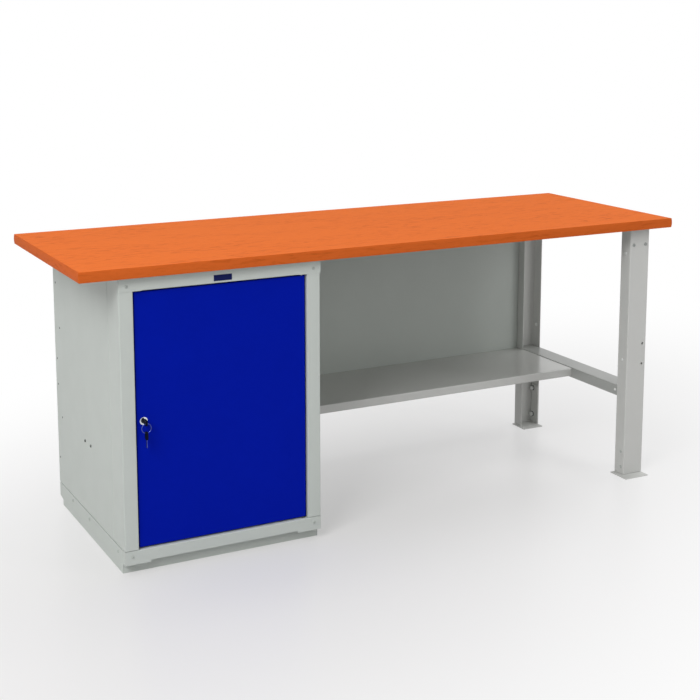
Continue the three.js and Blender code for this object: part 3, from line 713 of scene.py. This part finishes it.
@dataclass(frozen=True)
class Fastener:
    """One bolt, screw or rivet, its head against a face.

    Its place is in millimetres; way is the direction that the head looks.
    """

    name: str
    stock: Stock
    at: Point
    way: Point
    surface: Surface
    stands_for: tuple[str, ...] = ()
    sides: int = 24
    smooth_deg: float = 35.0
    # Faces under this share of a hexagon head's height are its washer
    washer_share: float = 0.23

    def build(self) -> bpy.types.Object:
        """Makes the fastener.

        Returns:
            The piece.
        """
        stock = self.stock
        bm = bmesh.new()
        bmesh.ops.create_circle(
            bm, cap_ends=True, segments=self.sides, radius=stock.shank / 2 * MM
        )
        bmesh.ops.translate(bm, verts=bm.verts, vec=(0, 0, -stock.length * MM))
        bm.faces.ensure_lookup_table()
        top = rise(bm, bm.faces[0], stock.length * MM, 1.0)
        top = rise(bm, top, 0.0, stock.width / stock.shank)
        self.shape_head(bm, top)
        bmesh.ops.recalc_face_normals(bm, faces=bm.faces)
        surfaces = [self.surface]
        # A hexagon head's washer takes the dark grey as painted shade of the slot round the bolt
        if stock.head is Head.HEXAGON:
            surfaces.append(Surface.DARK_HEAD)
            washer = self.washer_share * stock.height * MM
            for face in bm.faces:
                face.material_index = int(face.calc_center_median().z < washer)
        turn_to(bm, self.at, self.way)
        return put(
            self.name, bm, surfaces, "bench", self.stands_for, self.smooth_deg
        )

    def shape_head(self, bm: bmesh.types.BMesh, top: bmesh.types.BMFace) -> None:
        """Raises the head from the face under it.

        Args:
            bm: Mesh of the fastener.
            top: Round face at the foot of the head.
        """
        head, high = self.stock.head, self.stock.height * MM
        for share, scale in head.round_steps:
            top = rise(bm, top, share * high, scale)
        if head.six_sided_steps:
            self.make_hexagon(top)
        for share, scale in head.six_sided_steps:
            top = rise(bm, top, share * high, scale)

    @staticmethod
    def make_hexagon(face: bmesh.types.BMFace) -> None:
        """Draws the rim of a round face in to a hexagon of the same width over corners.

        Args:
            face: Round face about the Z axis.
        """
        for vert in face.verts:
            turn = math.atan2(vert.co.y, vert.co.x) % (math.pi / 3) - math.pi / 6
            reach = math.cos(math.pi / 6) / math.cos(turn)
            vert.co.x *= reach
            vert.co.y *= reach


# Sub-assemblies


@dataclass
class Worktop:
    """Laminated board with an edge band on each side."""

    edge_radius_mm: float = 1.8
    edge_steps: int = 3
    crown_mm: float = 1.3
    crown_cuts: int = 9

    def build(self) -> None:
        """Dresses the board and its four bands."""
        self.board()
        # The bands' darker finishes are painted shade of their upright faces
        for side, axis, surface in (
            ("front", 1, Surface.EDGE_LONG),
            ("rear", 1, Surface.EDGE_LONG),
            ("left", 0, Surface.EDGE_SHORT),
            ("right", 0, Surface.EDGE_SHORT),
        ):
            self.band(f"worktop_edge_{side}", axis, surface)

    @staticmethod
    def board() -> bpy.types.Object:
        """Makes the board with its print above and a balancing sheet below.

        Returns:
            The piece.
        """
        node = "worktop_board"
        bm = box_mesh(*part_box(node))
        min(bm.faces, key=lambda f: f.calc_center_median().z).material_index = 1
        surfaces = [Surface.LAMINATE, Surface.BACKING]
        return put("worktop_board_laminated", bm, surfaces, "bench", [node])

    def band(self, node: str, axis: int, surface: Surface) -> bpy.types.Object:
        """Makes one band with a crowned face and its outer edges rounded.

        Args:
            node: CAD node of the band.
            axis: Axis that the band faces along.
            surface: Finish, with the figure along the band.

        Returns:
            The piece.
        """
        low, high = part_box(node)
        outer = low[axis] if abs(low[axis]) > abs(high[axis]) else high[axis]
        bm = box_mesh(low, high)
        standing = [e for e in bm.edges if upright(e)]
        bmesh.ops.subdivide_edges(bm, edges=standing, cuts=self.crown_cuts, use_grid_fill=True)
        long_only = axis == 0
        edges = [
            e
            for e in bm.edges
            if all(abs(v.co[axis] - outer) < TOUCH for v in e.verts)
            and not (long_only and upright(e))
        ]
        round_edges(bm, edges, self.edge_radius_mm, self.edge_steps)
        self.crown(bm, (low.z + high.z) / 2, (high.z - low.z) / 2)
        return put(f"{node}_band", bm, [surface], "bench", [node])

    def crown(self, bm: bmesh.types.BMesh, middle: float, half: float) -> None:
        """Draws the outer faces in towards their upper and lower edges.

        Args:
            bm: Mesh of a band.
            middle: Height of the band's middle in metres.
            half: Half of its height in metres.
        """
        for vert in bm.verts:
            drawn_in = self.crown_mm * MM * ((vert.co.z - middle) / half) ** 2
            for axis in (0, 1):
                for side, way in zip(CAD_BOX, (1, -1)):
                    if abs(vert.co[axis] - side[axis]) < 2 * self.edge_radius_mm * MM:
                        vert.co[axis] += way * drawn_in


@dataclass
class Cabinet:
    """Folded steel carcass on a base frame, with its rails, shelf and badge plate."""

    sheet_radius_mm: float = 0.5
    rail_radius_mm: float = 0.7
    bottom_rail_radius_mm: float = 1.0
    bottom_rail_steps: int = 3
    post_gap_mm: float = 1.4
    badge_rim_mm: float = 1.1
    badge_sink_mm: float = 0.25
    badge_smooth_deg: float = 20.0
    sheet_mm: float = 1.5
    return_width_mm: float = 12.0
    # Places along Y and Z on each side
    side_rivets: Steps = (
        (309, 719),
        (278, 581),
        (316, 476),
        (314, 394),
        (280, 294),
        (318, 154),
    )
    base_bolts: Steps = ((188, 52), (15, 52), (-258, 52))
    outer_nodes: tuple[str, ...] = (
        "cabinet_left_side",
        "cabinet_right_side",
        "cabinet_back",
        "base_left_rail",
        "base_right_rail",
        "base_front_plinth",
        "base_rear_rail",
        "cabinet_floor",
        "inner_shelf",
    )
    inner_nodes: tuple[str, ...] = (
        "cabinet_left_bearer",
        "cabinet_right_bearer",
        "inner_shelf_left_support",
        "inner_shelf_right_support",
    )

    def build(self) -> None:
        """Dresses the carcass."""
        coat = Surface.GREY_PAINT
        for node in self.outer_nodes:
            soften(node, coat, self.sheet_radius_mm)
        for node in ("cabinet_left_post", "cabinet_right_post"):
            soften(node, coat, self.sheet_radius_mm, clear_mm=self.post_gap_mm)
        soften("cabinet_top_rail", coat, self.rail_radius_mm)
        soften("cabinet_bottom_rail", coat, self.bottom_rail_radius_mm, self.bottom_rail_steps)
        for node in self.inner_nodes:
            paint(node, coat)
        for node in ("hinge_pin_bottom", "hinge_pin_top"):
            paint(node, Surface.ZINC)
        paint("hinge_washer", Surface.NYLON)
        for side, way in (("left", 1), ("right", -1)):
            self.floor_return(side, way)
        self.badge()
        self.fasten()

    def floor_return(self, side: str, way: int) -> bpy.types.Object:
        """Makes the edge of a side panel that is folded in on the cabinet's floor.

        Args:
            side: Side of the cabinet.
            way: Direction along X in which the edge is folded.

        Returns:
            The piece.
        """
        low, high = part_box(f"cabinet_{side}_side")
        sheet = self.sheet_mm * MM
        wall = (low.x if way > 0 else high.x) + way * sheet
        near, far = sorted((wall, wall + way * self.return_width_mm * MM))
        bm = box_mesh((near, low.y + sheet, low.z), (far, high.y - sheet, low.z + sheet))
        round_edges(bm, bm.edges[:], self.sheet_radius_mm)
        name = f"cabinet_{side}_floor_return"
        return put(name, bm, [Surface.GREY_PAINT], "bench")

    def badge(self) -> bpy.types.Object:
        """Makes the blank badge plate with a raised rim.

        Returns:
            The piece.
        """
        node = "badge_plate"
        bm = box_mesh(*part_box(node))
        front = min(bm.faces, key=lambda f: f.calc_center_median().y)
        bmesh.ops.inset_region(bm, faces=[front], thickness=self.badge_rim_mm * MM)
        bmesh.ops.translate(bm, verts=front.verts, vec=(0, self.badge_sink_mm * MM, 0))
        surfaces = [Surface.BADGE]
        return put(
            "badge_plate_blank", bm, surfaces, "bench", [node], self.badge_smooth_deg
        )

    def fasten(self) -> None:
        """Adds the rail bolts, the shelf support bolts, the side rivets and the base bolts."""
        bolt, rivet = Stock.PANEL_BOLT, Stock.SIDE_RIVET
        for rail in ("top", "bottom"):
            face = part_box(f"cabinet_{rail}_rail")[0].y / MM
            for side in ("left", "right"):
                node = f"{rail}_rail_bolt_{side}"
                x, _, z = middle_of(node)
                at = (x, face, z)
                Fastener(
                    f"{node}_head", bolt, at, FORWARD, Surface.PAINTED_HEAD, (node,)
                ).build()
        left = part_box("cabinet_left_side")[0].x / MM
        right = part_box("cabinet_right_side")[1].x / MM
        for node in ("support_bolt_1", "support_bolt_2"):
            _, y, z = middle_of(node)
            at = (left, y, z)
            Fastener(f"{node}_head", bolt, at, LEFTWARD, Surface.DARK_HEAD, (node,)).build()
        for side, x, way in (("left", left, -1), ("right", right, 1)):
            out = (way, 0, 0)
            for k, (y, z) in enumerate(self.side_rivets, 1):
                name = f"side_rivet_{side}_{k}"
                Fastener(name, rivet, (x, y, z), out, Surface.DARK_HEAD).build()
            for k, (y, z) in enumerate(self.base_bolts, 1):
                name = f"base_{side}_{k}_head"
                Fastener(name, bolt, (x, y, z), out, Surface.PAINTED_HEAD).build()


@dataclass
class Door:
    """Blue door pan with its stiffener."""

    edge_radius_mm: float = 1.0
    edge_steps: int = 3
    stiffener_radius_mm: float = 0.5

    def build(self) -> None:
        """Dresses the door."""
        soften("door_panel", Surface.BLUE_PAINT, self.edge_radius_mm, self.edge_steps)
        soften("door_stiffener", Surface.BLUE_PAINT, self.stiffener_radius_mm)


@dataclass
class LockSet:
    """Cam lock with its key, ring and spare key; sizes in millimetres."""

    flange_diameter: float = 23.0
    flange_thickness: float = 2.5
    flange_round: float = 1.1
    flange_ease: float = 0.3
    body_diameter: float = 18.0
    bore_diameter: float = 12.6
    dish: float = 0.6
    collar_steps: int = 48
    collar_smooth_deg: float = 40.0
    works_radius: float = 0.25
    grip_radius: float = 0.9
    grip_steps: int = 3
    blade_radius: float = 0.2
    wire_sides: int = 12
    ring_steps: int = 64
    ring_smooth_deg: float = 60.0

    def build(self) -> None:
        """Dresses the lock and the keys."""
        self.collar()
        paint("lock_plug", Surface.CHROME)
        for node in ("lock_nut", "lock_cam", "cam_screw"):
            soften(node, Surface.ZINC, self.works_radius)
        for node in ("key_head", "spare_key_head"):
            soften(node, Surface.BLACK_PLASTIC, self.grip_radius, self.grip_steps)
        for node in ("key_blade", "spare_key_blade"):
            soften(node, Surface.KEY_METAL, self.blade_radius)
        self.ring()

    def collar(self) -> bpy.types.Object:
        """Turns the lock housing: a dished flange on a round body with a bore.

        Returns:
            The piece.
        """
        node = "lock_housing"
        low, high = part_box(node)
        deep = (high.y - low.y) / MM
        outer, body = self.flange_diameter / 2, self.body_diameter / 2
        bore, soft = self.bore_diameter / 2, self.flange_round
        outline = [
            (bore, 0.0),
            (bore, deep - self.dish),
            (bore + self.dish, deep),
            (outer - soft, deep),
            (outer - soft * self.flange_ease, deep - soft * self.flange_ease),
            (outer, deep - soft),
            (outer, deep - self.flange_thickness),
            (body, deep - self.flange_thickness),
            (body, 0.0),
        ]
        bm = bmesh.new()
        verts = [bm.verts.new((r * MM, 0, z * MM)) for r, z in outline]
        for a, b in zip(verts, verts[1:] + verts[:1]):
            bm.edges.new((a, b))
        spin_round(bm, self.collar_steps)
        x, _, z = middle_of(node)
        turn_to(bm, (x, high.y / MM, z), FORWARD)
        return put(
            "lock_collar", bm, [Surface.CHROME], "door", [node], self.collar_smooth_deg
        )

    def ring(self) -> bpy.types.Object:
        """Spins the key ring's wire.

        Returns:
            The piece.
        """
        node = "key_ring"
        low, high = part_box(node)
        wire = (high.y - low.y) / 2
        radius = (high.x - low.x) / 2 - wire
        bm = bmesh.new()
        bmesh.ops.create_circle(bm, segments=self.wire_sides, radius=wire)
        bmesh.ops.rotate(bm, verts=bm.verts, matrix=Matrix.Rotation(math.pi / 2, 3, "X"))
        bmesh.ops.translate(bm, verts=bm.verts, vec=(radius, 0, 0))
        spin_round(bm, self.ring_steps)
        turn_to(bm, middle_of(node), FORWARD)
        return put(
            "key_ring_wire", bm, [Surface.WIRE], "ring", [node], self.ring_smooth_deg
        )


@dataclass
class LegFrame:
    """Two channel legs on feet, with head brackets and a cross bar."""

    sheet_radius_mm: float = 0.6
    leg_sheet_mm: float = 2.5
    foot_sheet_mm: float = 3.0
    leg_gap_mm: float = 1.3
    nodes: tuple[str, ...] = (
        "rear_leg",
        "front_foot",
        "rear_foot",
        "front_head_bracket",
        "rear_head_bracket",
    )
    # Places along Y and Z
    flange_bolts: Steps = ((-281, 759), (-279, 398))
    foot_rivets: Steps = ((-287, 80), (-289, 27))
    inner_bolt: tuple[float, float] = (320, 384)

    def build(self) -> None:
        """Dresses the leg frame."""
        # The legs' paler coat is painted light
        for node in self.nodes:
            soften(node, Surface.LEG_PAINT, self.sheet_radius_mm)
        soften("front_leg", Surface.LEG_PAINT, self.sheet_radius_mm, clear_mm=self.leg_gap_mm)
        # The cross bar's darker grey is painted shade for its side
        soften("crossbar", Surface.BAR_PAINT, self.sheet_radius_mm)
        self.fasten()

    def fasten(self) -> None:
        """Adds the bolts of the legs, feet and cross bar."""
        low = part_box("front_leg")[0]
        left, front = low.x / MM, low.y / MM
        for node in ("front_head_bolt_1", "front_head_bolt_2"):
            x, _, z = middle_of(node)
            at, stock = (x, front, z), Stock.LEG_HEAD_BOLT
            Fastener(f"{node}_head", stock, at, FORWARD, Surface.STEEL_HEAD, (node,)).build()
        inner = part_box("rear_leg")[1].x / MM - self.leg_sheet_mm
        lug = inner - self.foot_sheet_mm
        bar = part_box("crossbar")[0].x / MM
        # These pale heads' whiteness is a painted highlight
        bright, painted = Surface.BRIGHT_HEAD, Surface.PAINTED_HEAD
        self.bolt("crossbar_bolt", Stock.BAR_BOLT, bar)
        for k, place in enumerate(self.flange_bolts, 1):
            at = (left, *place)
            Fastener(f"leg_flange_bolt_{k}", Stock.FLANGE_BOLT, at, LEFTWARD, bright).build()
        for k, place in enumerate(self.foot_rivets, 1):
            at = (left, *place)
            Fastener(f"front_foot_bolt_{k}", Stock.FOOT_RIVET, at, LEFTWARD, painted).build()
        at = (inner, *self.inner_bolt)
        Fastener("rear_leg_flange_bolt", Stock.INNER_BOLT, at, LEFTWARD, bright).build()
        for node in ("rear_foot_bolt_1", "rear_foot_bolt_2"):
            self.bolt(node, Stock.FOOT_BOLT, lug)

    @staticmethod
    def bolt(node: str, stock: Stock, face: float) -> None:
        """Replaces a CAD bolt that looks to the left.

        Args:
            node: CAD node of the bolt.
            stock: Its kind and sizes.
            face: Place along X of the face under its head, in millimetres.
        """
        _, y, z = middle_of(node)
        at = (face, y, z)
        # A pale head, its whiteness a painted highlight
        Fastener(f"{node}_head", stock, at, LEFTWARD, Surface.BRIGHT_HEAD, (node,)).build()


@dataclass
class LowerShelf:
    """Shelf tray on its bracket and the screen behind it."""

    sheet_radius_mm: float = 0.6

    def build(self) -> None:
        """Dresses the shelf, its bracket and the screen."""
        soften("lower_shelf", Surface.SHELF_PAINT, self.sheet_radius_mm)
        for node in ("shelf_bracket", "back_screen"):
            soften(node, Surface.GREY_PAINT, self.sheet_radius_mm)


# Studio


@dataclass
class Studio:
    """Pale floor, soft light and the camera."""

    image_px: float = 700.0
    focal_px: float = 1362.373
    horizon_px: float = 220.0
    sensor_mm: float = 36.0
    far_end: float = 200.0
    camera_at: Point = (-1.986722, -3.784152, 1.570258)
    camera_yaw: float = 0.480
    camera_pitch: float = -0.157
    world_light: float = 0.32
    floor_colour: str = "#dfdddd"
    floor_roughness: float = 0.33
    floor_ior: float = 1.45
    floor_reach: float = 40.0
    # Ellipse round the bench over which the floor's painted white glow grows, from white_near of it
    # next to the bench to all white at white_to; the glow lightens the floor's shadows
    floor_middle: Point = (-0.29, -0.19, 0.0)
    floor_turn: Point = (0.0, 0.0, 0.52)
    floor_spread: Point = (1.63, 0.81, 1.0)
    white_near: float = 0.33
    white_from: float = 0.0
    white_to: float = 2.26
    # Name, place, aim, side of the softbox in metres and power in watts
    lamps: tuple[tuple[str, Point, Point, float, float], ...] = (
        ("softbox_key", (-4.0, -2.9, 4.0), (0, 0, 0.5), 2.5, 168.0),
        ("softbox_fill", (3.4, -4.2, 3.0), (0.3, 0, 0.5), 2.5, 46.0),
        ("softbox_right", (2.4, 0.1, 3.3), (0.9, 0, 0.3), 1.2, 21.0),
        ("softbox_top", (-1.6, 0.4, 4.4), (-0.2, 0, 0.5), 2.5, 27.0),
    )

    def build(self) -> None:
        """Sets up the whole studio."""
        self.camera()
        self.world()
        self.floor()
        for lamp in self.lamps:
            self.lamp(*lamp)
        bpy.context.scene.view_settings.view_transform = "Standard"

    def camera(self) -> None:
        """Makes the camera at the photograph's place and turn."""
        data = bpy.data.cameras.new("camera")
        data.sensor_fit = "HORIZONTAL"
        data.sensor_width = self.sensor_mm
        data.lens = self.focal_px / self.image_px * self.sensor_mm
        data.shift_y = (self.horizon_px - self.image_px / 2) / self.image_px
        data.clip_end = self.far_end
        camera = bpy.data.objects.new("camera", data)
        camera.location = self.camera_at
        camera.rotation_euler = (math.pi / 2 + self.camera_pitch, 0, -self.camera_yaw)
        bpy.context.scene.collection.objects.link(camera)
        bpy.context.scene.camera = camera

    @staticmethod
    def seen(tree: bpy.types.NodeTree) -> bpy.types.NodeSocket:
        """Tells the rays that show the white background.

        Args:
            tree: Tree that gets the nodes.

        Returns:
            1 for a camera, glossy or transmission ray, and 0 for the rest.
        """
        path = add_node(tree, "LightPath").outputs
        found = path["Is Camera Ray"]
        for ray in ("Is Glossy Ray", "Is Transmission Ray"):
            found = add_node(tree, "Math", {0: found, 1: path[ray]}, operation="MAXIMUM").outputs[0]
        return found

    def world(self) -> None:
        """Makes the even surrounding light, which shows as white."""
        world = bpy.data.worlds.new("studio")
        bpy.context.scene.world = world
        world.use_nodes = True
        tree = world.node_tree
        tree.nodes.clear()
        light, shown = (
            add_node(tree, "Background", {"Color": linear(WHITE), "Strength": strength}).outputs[0]
            for strength in (self.world_light, 1.0)
        )
        mixed = add_node(tree, "MixShader", {0: self.seen(tree), 1: light, 2: shown})
        add_node(tree, "OutputWorld", {"Surface": mixed.outputs[0]})

    def floor(self) -> None:
        """Lays a pale floor that takes the shadow and fades to white with distance."""
        bm = bmesh.new()
        bmesh.ops.create_grid(bm, x_segments=1, y_segments=1, size=self.floor_reach)
        mesh = bpy.data.meshes.new("studio_floor")
        bm.to_mesh(mesh)
        bm.free()
        floor = bpy.data.objects.new("studio_floor", mesh)
        bpy.context.scene.collection.objects.link(floor)
        mesh.materials.append(self.floor_paint())

    def floor_paint(self) -> bpy.types.Material:
        """Makes the floor's finish.

        Returns:
            The finished material.
        """
        # Rolled studio floor paint: pale warm grey with a soft sheen, under a painted white glow
        # that lightens its shadows near the bench and is all white further away
        material = bpy.data.materials.new("studio_floor_paint")
        material.use_nodes = True
        tree = material.node_tree
        tree.nodes.clear()
        spread = {
            "Vector": add_node(tree, "TexCoord").outputs["Object"],
            "Location": self.floor_middle,
            "Rotation": self.floor_turn,
            "Scale": self.floor_spread,
        }
        laid = add_node(tree, "Mapping", spread, vector_type="TEXTURE").outputs[0]
        away = add_node(tree, "VectorMath", {0: laid}, operation="LENGTH").outputs["Value"]
        fading = {
            "Value": away,
            "From Min": self.white_from,
            "From Max": self.white_to,
            "To Min": self.white_near,
        }
        fade = add_node(tree, "MapRange", fading, interpolation_type="SMOOTHSTEP").outputs[0]
        shown = add_node(tree, "Math", {0: fade, 1: self.seen(tree)}, operation="MULTIPLY")
        coat = {
            "Base Color": linear(self.floor_colour),
            "Roughness": self.floor_roughness,
            "IOR": self.floor_ior,
        }
        paint_on = add_node(tree, "BsdfPrincipled", coat).outputs[0]
        white = add_node(tree, "Emission", {"Color": linear(WHITE), "Strength": 1.0}).outputs[0]
        mixed = add_node(tree, "MixShader", {0: shown.outputs[0], 1: paint_on, 2: white})
        add_node(tree, "OutputMaterial", {"Surface": mixed.outputs[0]})
        return material

    @staticmethod
    def lamp(name: str, at: Point, aim: Point, size: float, watts: float) -> None:
        """Hangs a square softbox.

        Args:
            name: Name of the lamp.
            at: Its place in metres.
            aim: Point that it looks at.
            size: Side of the softbox in metres.
            watts: Its power.
        """
        data = bpy.data.lights.new(name, "AREA")
        data.size = size
        data.energy = watts
        lamp = bpy.data.objects.new(name, data)
        lamp.location = at
        lamp.rotation_mode = "QUATERNION"
        lamp.rotation_quaternion = (Vector(aim) - Vector(at)).to_track_quat("-Z", "Y")
        bpy.context.scene.collection.objects.link(lamp)


def main() -> None:
    """Builds the bench and its studio."""
    logging.basicConfig(level=logging.INFO, format="%(name)s: %(message)s")
    for assembly in (Studio(), Worktop(), Cabinet(), Door(), LockSet(), LegFrame(), LowerShelf()):
        LOG.info("building %s", type(assembly).__name__)
        assembly.build()


if __name__ == "__main__":
    main()
